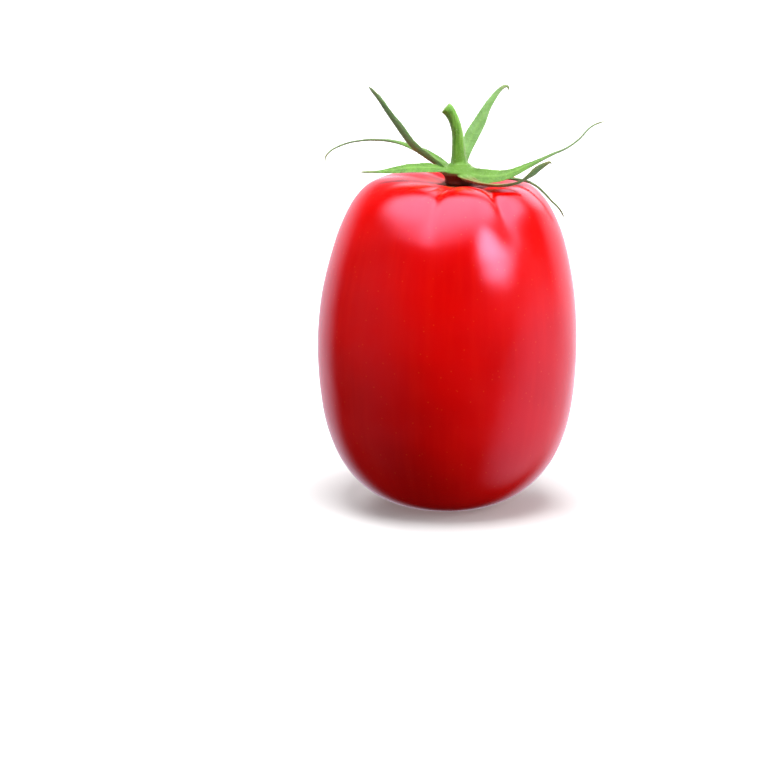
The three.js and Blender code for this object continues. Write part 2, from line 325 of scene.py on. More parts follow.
# %% [markdown]
# ## The ripe skin
# A ripe skin is a clear wax over deep red flesh. The red isn't even: it has blotches as wide as a thumb, fine
# streaks that run from the stem to the blossom end, and pin-point flecks of orange. A picture wrapped round
# the fruit could show them, but it would smear at both ends. So noise patterns follow the place on the fruit
# instead, and the streaks are a noise that is stretched along it.

# %% Skin colours
DEEP_RED, BRIGHT_RED = (0.46, 0.0007, 0.0005, 1), (0.54, 0.0014, 0.0009, 1)
STREAK_RED = (0.60, 0.008, 0.002, 1)
FLECK_ORANGE = (0.74, 0.12, 0.02, 1)

skin, tree, shader = new_material("ripe_tomato_skin")
place = add(tree, "TexCoord", out="Object")
blotches = ramp(tree, grain(tree, place, 48, 1.5), 0.3, 0.7)
colour = blend(tree, blotches, DEEP_RED, BRIGHT_RED)

around = vectors(tree, "NORMALIZE", vectors(tree, "MULTIPLY", place, (1, 1, 0)))
upwards = vectors(tree, "MULTIPLY", place, (0, 0, 45))
lengthways = vectors(tree, "ADD", vectors(tree, "MULTIPLY", around, (15, 15, 0)), upwards)
streaks = ramp(tree, grain(tree, lengthways, 1.0, 4.0, 0.6), 0.42, 0.72)
colour = blend(tree, times(tree, streaks, 0.2), colour, STREAK_RED)

flecks = tree.nodes.new("ShaderNodeTexVoronoi")
flecks.inputs["Scale"].default_value = 620
feed(tree, flecks.inputs["Vector"], place)
is_fleck = ramp(tree, flecks.outputs["Distance"], 0.05, 0.13, 0.2, 0.0)
colour = blend(tree, is_fleck, colour, FLECK_ORANGE)
print("skin colours mixed with", len(tree.nodes), "nodes")

# %% [markdown]
# ## Cork and painted shade round the stem, and the blossom scar
# Where the stalk joins the fruit, the skin turns to brown cork with an orange halo. The cork's dark brown is
# also painted shade, for the dip under the disc. Underneath, the blossom has left a brown dot. A painted mask
# could show both. They are rings round a line, though, so their distance from that line is enough, and noise
# added to the distance makes the edges ragged. Cork is dry and rough, wax is smooth, and just round the stem
# the wax is a little duller.

# %% Cork, painted shade and scar
HALO_ORANGE, CORK_AND_SHADE_BROWN = (0.55, 0.07, 0.01, 1), (0.13, 0.045, 0.014, 1)
DRAWN_ORANGE, SCAR_BROWN = (0.66, 0.14, 0.02, 1), (0.11, 0.055, 0.025, 1)

height = add(tree, "SeparateXYZ", place, out="Z")
from_stem = vectors(tree, "MULTIPLY", vectors(tree, "SUBTRACT", place, LEAN * MM), (1, 1, 0))
from_stem = vectors(tree, "LENGTH", from_stem, out="Value")
ragged = maths(tree, "MULTIPLY_ADD", grain(tree, place, 900, 3.0, 0.6), 0.0022, from_stem)
on_top = ramp(tree, height, 0.055, 0.06)
halo = times(tree, ramp(tree, ragged, 0.0058, 0.0098, 0.5, 0.0), on_top)
colour = blend(tree, halo, colour, HALO_ORANGE)
# The cork ring is dark brown: real cork, and painted shade for the dip under the calyx disc.
cork_and_shade = times(tree, ramp(tree, ragged, 0.0047, 0.0062, 1.0, 0.0), on_top)
colour = blend(tree, cork_and_shade, colour, CORK_AND_SHADE_BROWN)

from_axis = vectors(tree, "LENGTH", vectors(tree, "MULTIPLY", place, (1, 1, 0)), out="Value")
ragged_scar = maths(tree, "MULTIPLY_ADD", grain(tree, place, 2500, 2.0), 0.0006, from_axis)
below = ramp(tree, height, 0.002, 0.004, 1.0, 0.0)
drawn = times(tree, ramp(tree, ragged_scar, 0.0012, 0.0034, 0.45, 0.0), below)
colour = blend(tree, drawn, colour, DRAWN_ORANGE)
scar = times(tree, ramp(tree, ragged_scar, 0.0011, 0.0014, 1.0, 0.0), below)
colour = blend(tree, scar, colour, SCAR_BROWN)
feed(tree, shader.inputs["Base Color"], colour)

rough_wax = ramp(tree, grain(tree, place, 160, 3.0), 0.3, 0.7, 0.17, 0.22)
dry = maths(tree, "MAXIMUM", cork_and_shade, scar)
duller = times(tree, ramp(tree, from_stem, 0.007, 0.015, 0.2, 0.0), on_top)
rough_skin = plus(tree, maths(tree, "MULTIPLY_ADD", dry, 0.35, rough_wax), duller)
feed(tree, shader.inputs["Roughness"], rough_skin)
print("cork and scar placed, now", len(tree.nodes), "nodes")

# %% [markdown]
# ## The wax
# Wax is smooth but not a mirror, so lights show in it as soft patches. A clear coat over the skin would be a
# second mirror on top of the first and make the patches hard, so the shader's own gloss does it alone. Light
# also soaks into the flesh and comes out redder close by, which is what subsurface scattering does. A faint
# bump breaks up the shine, and only the cork has a strong one.

# %% Wax and relief
fine = grain(tree, place, 2400, 2.0)
soft = grain(tree, place, 300, 2.0)
cracks = times(tree, grain(tree, place, 1800, 4.0, 0.7), times(tree, dry, 4.0))
relief = plus(tree, maths(tree, "MULTIPLY_ADD", fine, 0.1, soft), cracks)
add_bump(tree, shader, relief, 0.4, 0.00003)
set_fixed(shader, {
    "IOR": 1.45,
    "Specular Tint": (1.0, 0.72, 1.0, 1),
    "Subsurface Weight": 0.15,
    "Subsurface Scale": 0.002,
    "Subsurface Radius": (1.0, 0.05, 0.03),
})

fruit = piece_from("fruit_skin", fruit_mesh, skin)
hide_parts("fruit")
rounding = fruit.modifiers.new("rounding", "SUBSURF")
rounding.levels = rounding.render_levels = 1

# %% [markdown]
# ## The sepals' lines
# Each sepal is a leaf as narrow as a blade of grass. The row of points is its middle line, in millimetres
# from the middle of the calyx disc. The half width, the twist in degrees and the share by which the edges
# rise over the middle are read from how much of each face shows.

# %% Measured sepals
SEPAL_LEVEL = 69.2
SEPALS = {
    "left, stiffly upright": dict(
        half_widths=[1.15, 1.3, 1.2, 1.1, 0.95, 0.72, 0.4],
        turns=[0, 20, 38, 42, 42, 42, 42],
        cup=0.3,
        line=[
            (-1.5, 0, 0.1), (-3.4, -0.3, 0.6), (-5.0, -0.7, 1.7), (-7.4, -1.1, 3.5), (-9.5, -1.4, 5.3),
            (-11.8, -1.6, 8.4), (-14.1, -1.7, 11.6), (-16.4, -1.9, 14.9), (-18.4, -2.0, 17.3),
        ],
    ),
    "left, long and thin with a drooping tip": dict(
        half_widths=[1.3, 1.45, 0.8, 0.36, 0.25, 0.22, 0.22],
        turns=[0, -12, -18, -18, -18, -18, -18],
        cup=0.3,
        line=[
            (-1.4, 1.5, 0.1), (-2.6, 2.5, 0.5), (-4.5, 3.6, 1.4), (-6.7, 4.6, 2.6), (-9.9, 5.8, 4.0),
            (-13.2, 6.6, 4.9), (-16.4, 7.0, 5.2), (-19.7, 7.0, 5.1), (-22.9, 7.0, 4.5),
            (-26.0, 6.7, 3.1), (-27.1, 6.4, 1.8), (-27.1, 6.2, 0.5),
        ],
    ),
    "left, lying low over the shoulder": dict(
        half_widths=[1.3, 1.5, 1.6, 1.4, 0.95, 0.5, 0.26],
        turns=[-8, -22, -34, -34, -30, -25, -20],
        cup=0.2,
        line=[
            (-1.5, -1.2, 0), (-4.0, -2.4, 0.5), (-6.8, -3.4, 0.9), (-10.0, -4.0, 0.9), (-13.2, -4.4, 0.6),
            (-16.4, -4.6, 0.4), (-20.2, -4.8, 0.4),
        ],
    ),
    "right, upright behind the stalk": dict(
        half_widths=[0.9, 1.3, 1.6, 1.4, 0.95, 0.6, 0.26],
        turns=[0, 0, 0, 0, 0, 0, 0],
        cup=0.3,
        line=[
            (0.5, 1.9, 0.1), (0.8, 3.1, 1.5), (1.7, 4.3, 4.2), (2.9, 5.1, 6.7), (4.3, 5.6, 9.1),
            (5.9, 6.2, 12.3), (8.1, 6.7, 15.3), (9.1, 6.8, 16.1), (9.8, 6.8, 16.2), (10.1, 6.7, 15.2),
        ],
    ),
    "right, the longest, rising outwards": dict(
        half_widths=[2.1, 2.0, 1.25, 0.65, 0.28, 0.22, 0.22],
        turns=[25, 40, 34, 28, 24, 20, 20],
        cup=0.25,
        line=[
            (0.8, -2.0, 0), (2.4, -4.0, -0.4), (4.3, -5.4, -0.6), (6.5, -6.0, -0.5), (8.5, -5.9, -0.3),
            (10.9, -5.3, 0.4), (13.9, -4.8, 1.7), (18.7, -3.7, 3.9), (21.2, -3.2, 4.9), (23.6, -2.6, 6.5),
            (26.0, -1.9, 8.9), (27.2, -1.6, 9.6), (29.4, -1.0, 10.2),
        ],
    ),
    "front right, low, then turned up on edge": dict(
        half_widths=[1.3, 1.3, 1.0, 0.85, 0.9, 1.0, 0.22],
        turns=[12, 0, -12, -14, -36, -72, -72],
        cup=0.3,
        line=[
            (0.2, -2.2, -0.1), (1.2, -5.2, -0.8), (3.1, -8.2, -1.3), (5.8, -10.2, -1.5), (8.4, -10.6, -1.5),
            (10.4, -10.0, -1.3), (12.0, -9.0, -0.9), (13.4, -8.0, -0.2), (14.6, -7.1, 0.5), (15.7, -6.4, 1.3),
            (16.9, -5.8, 2.0), (17.9, -5.3, 2.4), (18.4, -5.0, 1.8),
        ],
    ),
    "right, hanging down over the shoulder": dict(
        half_widths=[0.8, 0.85, 0.6, 0.38, 0.3, 0.26, 0.22],
        turns=[0, 0, 0, 0, 0, 0, 0],
        cup=0.2,
        line=[
            (1.9, -0.4, -0.1), (3.7, -1.1, -0.5), (6.1, -2.0, -0.8), (9.1, -2.8, -1.1),
            (11.7, -3.4, -1.4), (13.5, -3.8, -1.7), (15.3, -4.1, -2.6), (16.9, -4.1, -4.0),
            (18.4, -3.9, -5.6), (19.8, -3.4, -7.0), (20.6, -2.9, -8.2), (21.1, -2.4, -9.4),
        ],
    ),
}
print("sepals measured:", len(SEPALS))

# %% [markdown]
# ## A moving frame along a line
# To lay a blade along its line, each row needs to know which way is sideways and which way its face looks. A
# curve object with a bevel knows that too, but its section is the same all along. Here the frame is carried
# from row to row by the smallest turn, so that it never spins, and the measured twist is added after that.

# %% Rows of the sepals
def frames_along(points, rows, up):
    """Place, tangent, side and face direction at each row. The face starts near up and never spins."""
    places, length = even_points(points, rows)
    tangents = [(q - p).normalized() for p, q in zip(places, places[1:])]
    tangents.append(tangents[-1])
    face = (up - up.dot(tangents[0]) * tangents[0]).normalized()
    frames = []
    for i, (here, tangent) in enumerate(zip(places, tangents)):
        if i:
            face = tangents[i - 1].rotation_difference(tangent) @ face
        frames.append((here, tangent, tangent.cross(face), face))
    return frames, length


def smooth_value(values, share):
    """A value at a share from 0 to 1 of one smooth line through evenly spaced values."""
    return smooth_point([Vector((i, value, 0)) for i, value in enumerate(values)], share).y


SEPAL_ROWS = 90
sepals = []
for sepal in SEPALS.values():
    centre = Vector((LEAN.x, LEAN.y, SEPAL_LEVEL))
    frames, length = frames_along([Vector(p) + centre for p in sepal["line"]], SEPAL_ROWS, Vector((0, 0, 1)))
    turned = []
    for row, (here, tangent, side, face) in enumerate(frames):
        turn = Quaternion(tangent, math.radians(smooth_value(sepal["turns"], row / SEPAL_ROWS)))
        width = smooth_value(sepal["half_widths"], row / SEPAL_ROWS)
        turned.append((here, turn @ side, turn @ face, width))
    sepals.append({"rows": turned, "length": length, "cup": sepal["cup"]})
print("sepal lengths, mm:", [round(sepal["length"], 1) for sepal in sepals])

# %% [markdown]
# ## One sepal
# A sepal is thickest along its rib, which stands out on the upper face, and it thins to its edges. A flat
# strip with a thickness modifier would have square edges. Here a sheet is rolled up lengthways instead and
# pressed flat, so that the section is a thin lens. Its two ends close to a point. The edges also wave a
# little, as on a leaf that has begun to dry.

# %% Sepals as rolled sheets
BLADE_AROUND = 28
HALF_THICK, THINNER = 0.31, 0.1
RIB_HEIGHT, RIB_WIDTH = 0.16, 0.38
WAVE_HEIGHT = 0.2


def rolled_sheet(around, rows, place):
    """A sheet rolled up into a closed skin. place(turn, row) gives each point, turn from 0 to 1."""
    bm = bmesh.new()
    bmesh.ops.create_grid(bm, x_segments=around, y_segments=rows, size=0.5)
    for vert in bm.verts:
        turn, row = vert.co.x + 0.5, round((vert.co.y + 0.5) * rows)
        vert.co = place(turn if turn < 0.9999 else 0.0, row)
    bmesh.ops.remove_doubles(bm, verts=bm.verts, dist=1e-5)
    bmesh.ops.recalc_face_normals(bm, faces=bm.faces)
    return bm


def sepal_point(number, turn, row):
    """A point of a sepal's skin: turn goes round the blade, row goes along it."""
    sepal, along = sepals[number], row / SEPAL_ROWS
    here, side, face, width = sepal["rows"][row]
    across = math.cos(turn * math.tau)
    upper = math.sin(turn * math.tau)
    ends = math.sqrt(max(1 - (1 - min(along / 0.03, 1)) ** 2, 0) * max(1 - max(along - 0.95, 0) / 0.05, 0))
    reach = along * sepal["length"]
    wave = noise.noise(Vector((reach / 2.6, across * 1.5, 7.3 * number)))
    thick = HALF_THICK - THINNER * rise(along, 0.1, 0.7)
    rib = RIB_HEIGHT * math.exp(-((across * width / RIB_WIDTH) ** 2))
    rib *= (1 - rise(along, 0.5, 0.95)) * (upper > 0)
    edge = abs(across) ** 3 * rise(along, 0.08, 0.25) * (1 - rise(along, 0.8, 1))
    lift = sepal["cup"] * width * across**2 * rise(along, 0, 0.15) + WAVE_HEIGHT * wave * edge
    outward = lift + (thick * upper * (1 - 0.35 * across**2) + rib) * ends
    return here + side * width * across * ends * (1 + 0.06 * wave * edge) + face * outward


blades = bmesh.new()
for number in range(len(sepals)):
    sheet = rolled_sheet(BLADE_AROUND, SEPAL_ROWS, lambda turn, row: sepal_point(number, turn, row))
    blades.from_mesh(mesh_from("blade", sheet))
print("sepals:", len(blades.faces), "faces")

# %% [markdown]
# ## The disc
# The sepals grow out of a small thick disc. A collar stands under it in the dip of the fruit, and another
# rises in its middle where the stalk begins. All three are round, so one outline is turned once round.

# %% Disc
DISC = [
    (0, cavity_floor + 0.15), (2.6, cavity_floor + 0.15), (3.1, cavity_floor + 0.5), (2.9, 67.5),
    (3.2, 68.3), (3.9, 68.85), (4.15, 69.15), (3.9, 69.45), (3.2, 69.75), (2.5, 70.15), (2.1, 70.65),
    (0, 70.75),
]
DISC_STEPS = 48
disc_line = [blades.verts.new((r + LEAN.x, LEAN.y, z)) for r, z in DISC]
disc_edges = [blades.edges.new(pair) for pair in zip(disc_line, disc_line[1:])]
bmesh.ops.spin(
    blades,
    geom=disc_line + disc_edges,
    cent=LEAN,
    axis=(0, 0, 1),
    angle=math.tau,
    steps=DISC_STEPS,
    use_merge=True,
)
bmesh.ops.remove_doubles(blades, verts=blades.verts, dist=1e-5)
bmesh.ops.recalc_face_normals(blades, faces=blades.faces)
print("sepals and disc:", len(blades.faces), "faces")

# %% [markdown]
# ## The fused calyx
# Joining eight shapes with sharp cuts would leave hard seams that no leaf has. So they are laid into each
# other and skinned afresh in one go by a voxel remesh, and a light smoothing lets them flow together. Beside
# a thread as thin as a voxel, the remesh can leave a crumb of a few faces. Those are deleted.

# %% Fusing
VOXEL = 0.12
SMOOTHINGS = 3


def drop_crumbs(bm):
    """Keeps the largest connected part of a mesh, and deletes the crumbs beside it."""
    waiting, parts = set(bm.verts), []
    while waiting:
        part = [waiting.pop()]
        for vert in part:
            near = {edge.other_vert(vert) for edge in vert.link_edges} & waiting
            waiting -= near
            part.extend(near)
        parts.append(part)
    parts.sort(key=len)
    crumbs = [vert for part in parts[:-1] for vert in part]
    bmesh.ops.delete(bm, geom=crumbs, context="VERTS")
    return len(crumbs)


loose = bpy.data.objects.new("loose_calyx", mesh_from("loose_calyx_mesh", blades))
bpy.context.scene.collection.objects.link(loose)
fuse = loose.modifiers.new("fuse", "REMESH")
fuse.mode = "VOXEL"
fuse.voxel_size = VOXEL
graph = bpy.context.evaluated_depsgraph_get()
bm = bmesh.new()
bm.from_mesh(loose.evaluated_get(graph).to_mesh())
bpy.data.objects.remove(loose)
print("crumbs deleted:", drop_crumbs(bm), "vertices")
for _ in range(SMOOTHINGS):
    bmesh.ops.smooth_vert(bm, verts=bm.verts, factor=0.5, use_axis_x=True, use_axis_y=True, use_axis_z=True)
bmesh.ops.recalc_face_normals(bm, faces=bm.faces)
calyx_mesh = mesh_from("calyx_mesh", bm)
print("calyx fused:", len(calyx_mesh.polygons), "faces")

# %% [markdown]
# ## Where each point lies on its sepal
# The leaf's colours follow its rib, its edges and its tip. After the fusing no grid is left to tell where
# those are, so each point looks up the nearest row of the nearest sepal. Painting by hand could mark them
# too, but what is looked up here follows the sepals when they are changed. It is kept with the mesh in named
# attributes, which a material can read. Two sepals are marked by themselves: one has begun to wither, and
# one is painted lighter, a painted glow of the light that shines through it.

# %% Nearest rows
rows = [(here, side, face, width) for sepal in sepals for here, side, face, width in sepal["rows"]]
heres, sides, faces = (np.array([row[i] for row in rows]) for i in range(3))
widths = np.array([row[3] for row in rows])
reaches = np.concatenate([np.linspace(0, sepal["length"], SEPAL_ROWS + 1) for sepal in sepals])
lengths = np.repeat([sepal["length"] for sepal in sepals], SEPAL_ROWS + 1)
sepal_numbers = np.repeat(range(len(sepals)), SEPAL_ROWS + 1)

points = np.empty(len(calyx_mesh.vertices) * 3, dtype=np.float32)
calyx_mesh.vertices.foreach_get("co", points)
points = points.reshape(-1, 3).astype(float)
normals = np.array([v.normal for v in calyx_mesh.vertices])
nearest = np.concatenate([
    np.argmin(((part[:, None, :] - heres[None, :, :]) ** 2).sum(axis=2), axis=1)
    for part in np.array_split(points, 64)
])
print("each of", len(points), "points has its row, of", len(rows))

# %% Attributes of the calyx
BROWNED = 5  # the front right sepal, whose outer edge has begun to wither
# The upright sepal behind the stalk gets painted light: a lighter green for light shining through it.
LIT_THROUGH_SEPAL = 3  # the upright one behind the stalk, which the light shines through

offsets = points - heres[nearest]
off_rib = (offsets * sides[nearest]).sum(axis=1) / widths[nearest]
on_sepal = sepal_numbers[nearest]
calyx_marks = {
    "reach": reaches[nearest],
    "to_tip": lengths[nearest] - reaches[nearest],
    "across": np.abs(off_rib),
    "upper": (normals * faces[nearest]).sum(axis=1) * 0.5 + 0.5,
    "thin": 1 - np.clip(widths[nearest] / 0.7, 0, 1),
    "from_stalk": np.hypot(points[:, 0] - LEAN.x, points[:, 1] - LEAN.y),
    "browned": (on_sepal == BROWNED) * off_rib,
    "painted_backlight": (on_sepal == LIT_THROUGH_SEPAL) * np.clip(reaches[nearest] / 4, 0, 1),
}
for name, values in calyx_marks.items():
    calyx_mesh.attributes.new(name, "FLOAT", "POINT").data.foreach_set("value", values.astype(np.float32))
print("calyx marks:", {name: round(float(values.max()), 2) for name, values in calyx_marks.items()})

# %% [markdown]
# ## The leaf green
# The upper face is a fresh yellowish green, deeper round the stalk, with a paler rib and side veins that
# slant to the edges. The underside is greyer. A photograph of a leaf could be laid over each sepal, but each
# would have to be unwrapped first. The attributes place the colours better: one blend after the other lays a
# colour over what is there, as far as its mask says.

# %% Leaf greens, rib and veins
SHADOW_GREEN, LIGHT_GREEN = (0.051, 0.135, 0.016, 1), (0.093, 0.21, 0.034, 1)
STALK_SIDE_GREEN = (0.07, 0.17, 0.011, 1)
LIT_THROUGH, LIT_THROUGH_LIGHT = (0.15, 0.30, 0.09, 1), (0.24, 0.42, 0.16, 1)
VEIN_GREEN, RIB_GREEN, EDGE_GREEN = (0.19, 0.35, 0.08, 1), (0.20, 0.37, 0.09, 1), (0.20, 0.30, 0.09, 1)
UNDERSIDE_GREEN = (0.15, 0.25, 0.11, 1)

leaf, tree, shader = new_material("calyx_leaf_green")
place = add(tree, "TexCoord", out="Object")
reach, to_tip, across, upper, thin, from_stalk, browned, painted_backlight = (
    add(tree, "Attribute", attribute_name=name, out="Fac")
    for name in ("reach", "to_tip", "across", "upper", "thin", "from_stalk", "browned", "painted_backlight")
)
mottle = ramp(tree, grain(tree, place, 420, 4.0, 0.6), 0.35, 0.68)
colour = blend(tree, mottle, SHADOW_GREEN, LIGHT_GREEN)
colour = blend(tree, ramp(tree, from_stalk, 3.0, 6.0, 0.5, 0.0), colour, STALK_SIDE_GREEN)
# Painted light: the upright sepal behind the stalk is blended to a lighter green, a glow of light through it.
colour = blend(tree, times(tree, painted_backlight, 0.8), colour, blend(tree, mottle, LIT_THROUGH, LIT_THROUGH_LIGHT))

on_blade = ramp(tree, reach, 2.5, 5.0)
slanting = maths(tree, "SUBTRACT", times(tree, reach, 4.2), times(tree, across, 3.4))
is_vein = times(tree, ramp(tree, maths(tree, "SINE", slanting), 0.72, 1.0), on_blade)
colour = blend(tree, times(tree, is_vein, 0.2), colour, VEIN_GREEN)
is_rib = times(tree, ramp(tree, across, 0.06, 0.26, 1.0, 0.0), ramp(tree, reach, 1.0, 4.0))
colour = blend(tree, times(tree, is_rib, 0.35), colour, RIB_GREEN)
is_edge = times(tree, ramp(tree, across, 0.72, 1.0), on_blade)
colour = blend(tree, times(tree, is_edge, 0.25), colour, EDGE_GREEN)
colour = blend(tree, ramp(tree, upper, 0.25, 0.55, 0.8, 0.0), colour, UNDERSIDE_GREEN)
print("leaf greens mixed with", len(tree.nodes), "nodes")

# %% [markdown]
# ## Withered places and painted shade
# A calyx dries long before the fruit does. Its thread-like ends are pale and grey, its tips brown. The
# front right sepal is brown along its withered outer edge. Where it bends under the sepal above, its brown is
# partly withering and partly painted shade cast by that sepal, and where it turns up on edge it is painted a
# darker green as painted shade. The collar below the disc sits in the dip and is painted reddish brown, for
# its cork and as painted shade of the dip. All of these are masks again: how thin the blade is, how far the
# tip is, how far the stalk is, and on which sepal a point lies.

# %% Withered places and painted shade
COLLAR_SHADE_BROWN = (0.085, 0.013, 0.004, 1)
THIN_GREY = (0.19, 0.24, 0.16, 1)
EDGE_BROWN, BENT_UNDER_SHADE_BROWN = (0.17, 0.05, 0.014, 1), (0.13, 0.045, 0.014, 1)
TURNED_UP_SHADE_GREEN = (0.042, 0.10, 0.03, 1)
TIP_BROWN = (0.20, 0.17, 0.07, 1)

height = add(tree, "SeparateXYZ", place, out="Z")
# Painted shade: the collar under the disc is reddish brown, for its cork and for the shade in the dip.
below_disc = ramp(tree, height, 0.0684, 0.0688, 1.0, 0.0)
collar_shade = times(tree, below_disc, ramp(tree, from_stalk, 3.9, 4.5, 1.0, 0.0))
colour = blend(tree, collar_shade, colour, COLLAR_SHADE_BROWN)
colour = blend(tree, times(tree, thin, 0.8), colour, THIN_GREY)

outer_edge = maths(tree, "MULTIPLY_ADD", grain(tree, place, 500, 3.0), 0.6, browned)
withered = times(tree, ramp(tree, outer_edge, 0.6, 1.3, 0.0, 0.85), on_blade)
colour = blend(tree, withered, colour, EDGE_BROWN)
on_browned = ramp(tree, maths(tree, "ABSOLUTE", browned), 0.0, 0.05)
# Partly painted shade: brown where the front right sepal bends under the one above, partly withered too.
bent_under_shade = times(tree, ramp(tree, reach, 3.0, 5.0, 0.0, 0.55), ramp(tree, reach, 9.5, 12.0, 1.0, 0.0))
colour = blend(tree, times(tree, bent_under_shade, on_browned), colour, BENT_UNDER_SHADE_BROWN)
# Painted shade: a darker green where the front right sepal turns up on edge.
turned_up_shade = times(tree, ramp(tree, reach, 11.5, 14.0, 0.0, 0.75), on_browned)
colour = blend(tree, turned_up_shade, colour, TURNED_UP_SHADE_GREEN)

patchy = ramp(tree, grain(tree, place, 700, 3.0), 0.25, 0.6)
dried = times(tree, ramp(tree, to_tip, 0.4, 4.5, 1.0, 0.0), patchy)
colour = blend(tree, times(tree, dried, 0.6), colour, TIP_BROWN)
feed(tree, shader.inputs["Base Color"], colour)
print("withered places added, now", len(tree.nodes), "nodes")

# %% [markdown]
# ## The leaf's surface
# A sepal is matt, a little uneven, and raised along its veins. A soft sheen stands for down too fine to
# model, and a little light passes through the thin flesh.

# %% Leaf surface
feed(tree, shader.inputs["Roughness"], ramp(tree, mottle, 0.0, 1.0, 0.5, 0.62))
uneven = grain(tree, place, 1500, 3.0, 0.6)
add_bump(tree, shader, maths(tree, "MULTIPLY_ADD", uneven, 0.7, times(tree, is_vein, 0.6)), 0.7, 0.00008)
set_fixed(shader, {
    "IOR": 1.32,
    "Sheen Weight": 0.12,
    "Sheen Roughness": 0.45,
    "Sheen Tint": (0.85, 1.0, 0.75, 1),
    "Subsurface Weight": 0.2,
    "Subsurface Scale": 0.0006,
    "Subsurface Radius": (0.5, 1.0, 0.2),
})
calyx = piece_from("calyx_leaf", calyx_mesh, leaf)
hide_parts("calyx")

# %% [markdown]
# ## The stalk
# The stalk is a ribbed, slightly crooked rod. It widens where it stands on the disc, narrows, and swells
# again under the place where it was cut. A curve with a round bevel would be too even. So another rolled
# sheet makes it: its last rows run over the cut end to the middle, and the skin, the rim and the paler cut
# face are one closed surface.

# %% Stalk
STALK_FOOT = 69.95
STALK_LINE = [
    (0, 0, 0), (-0.15, 0, 1.6), (-0.25, 0, 3.7), (-0.4, 0, 6.4), (-0.9, -0.2, 8.7), (-1.6, -0.3, 10.4),
    (-2.3, -0.4, 11.5), (-2.8, -0.4, 11.95),
]
STALK_RADII = [2.15, 1.62, 1.42, 1.33, 1.25, 1.18, 1.14, 1.1, 1.08, 1.1, 1.18, 1.24]
# The rows over the cut end: share of the radius, and how far they stand out
CUT_RINGS = [(0.97, 0.07), (0.9, 0.13), (0.8, 0.11), (0.66, 0.05), (0.5, 0.02), (0.3, -0.03), (0.0, -0.06)]
STALK_ROWS, STALK_AROUND = 72, 40
stalk_points = [Vector(p) + Vector((LEAN.x, LEAN.y, STALK_FOOT)) for p in STALK_LINE]
stalk_frames, stalk_length = frames_along(stalk_points, STALK_ROWS, Vector((1, 0, 0)))


def stalk_point(turn, row):
    """A point of the stalk's skin: turn goes round it, row goes up it and over the cut."""
    on_cut = row - STALK_ROWS
    here, tangent, side, face = stalk_frames[min(row, STALK_ROWS)]
    along = min(row / STALK_ROWS, 1)
    angle = turn * math.tau
    radius = float(np.interp(along * (len(STALK_RADII) - 1), range(len(STALK_RADII)), STALK_RADII))
    direction = side * math.cos(angle) + face * math.sin(angle)
    ribs = 0.035 * math.cos(5 * angle + 1.2 * along) + 0.012 * math.cos(11 * angle + 0.8)
    lumps = 0.05 * noise.noise((here + direction * radius) / 0.9)
    width = radius * (1 + ribs * (1 - 0.5 * along)) + lumps
    out = 0.0
    if on_cut > 0:
        share, out = CUT_RINGS[on_cut - 1]
        width *= share
        out += 0.05 * noise.noise(direction * share * 3) * (share > 0)
    if row == 0:
        width = 0.0
    return here + direction * width + tangent * out


bm = rolled_sheet(STALK_AROUND, STALK_ROWS + len(CUT_RINGS), stalk_point)
stalk_mesh = mesh_from("stalk_mesh", bm)
cut_place, cut_tangent = stalk_frames[-1][0], stalk_frames[-1][1]
over_cut = [(v.co - cut_place).dot(cut_tangent) for v in stalk_mesh.vertices]
from_pith = [(v.co - cut_place).length for v in stalk_mesh.vertices]
for name, values in (("over_cut", over_cut), ("from_pith", from_pith)):
    stalk_mesh.attributes.new(name, "FLOAT", "POINT").data.foreach_set("value", np.array(values, np.float32))
print("stalk length, mm:", round(stalk_length, 1))

# %% [markdown]
# ## The stalk's green and its cut end
# The stalk is a deeper green than the leaves, deepest at its foot, and has fine streaks along it. The cut end
# shows the parts of every young stalk: a green skin, a ring of woody fibres, and pale pith in the middle. The
# two attributes made above tell the cut face from the side, and the pith from the skin.

# %% Stalk material
STREAK_GREEN, STALK_LIGHT_GREEN = (0.068, 0.205, 0.015, 1), (0.15, 0.35, 0.045, 1)
BLUSH_GREEN, FOOT_GREEN = (0.18, 0.31, 0.07, 1), (0.062, 0.155, 0.012, 1)
PITH, WOOD, CUT_SKIN = (0.42, 0.45, 0.26, 1), (0.22, 0.32, 0.11, 1), (0.12, 0.20, 0.05, 1)

stalk_green, tree, shader = new_material("stalk_green")
place = add(tree, "TexCoord", out="Object")
over, pith_distance = (
    add(tree, "Attribute", attribute_name=name, out="Fac") for name in ("over_cut", "from_pith")
)
stretched = vectors(tree, "MULTIPLY", place, (1, 1, 0.12))
streaks = ramp(tree, grain(tree, stretched, 1900, 3.0, 0.6), 0.36, 0.66)
colour = blend(tree, streaks, STREAK_GREEN, STALK_LIGHT_GREEN)
blush = ramp(tree, grain(tree, place, 260, 2.0), 0.45, 0.75, 0.0, 0.4)
colour = blend(tree, blush, colour, BLUSH_GREEN)
foot = ramp(tree, add(tree, "SeparateXYZ", place, out="Z"), 0.0702, 0.0765, 0.6, 0.0)
colour = blend(tree, foot, colour, FOOT_GREEN)
on_cut = ramp(tree, over, -0.03, 0.05)
rings = ramp(tree, pith_distance, 0.35, 0.75)
cut_colour = blend(tree, rings, PITH, WOOD)
skin_ring = ramp(tree, pith_distance, 0.9, 1.1)
cut_colour = blend(tree, skin_ring, cut_colour, CUT_SKIN)
colour = blend(tree, on_cut, colour, cut_colour)
feed(tree, shader.inputs["Base Color"], colour)
feed(tree, shader.inputs["Roughness"], ramp(tree, streaks, 0.0, 1.0, 0.42, 0.56))
relief = maths(tree, "MULTIPLY_ADD", grain(tree, place, 2600, 3.0), 0.4, streaks)
add_bump(tree, shader, relief, 0.6, 0.0001)
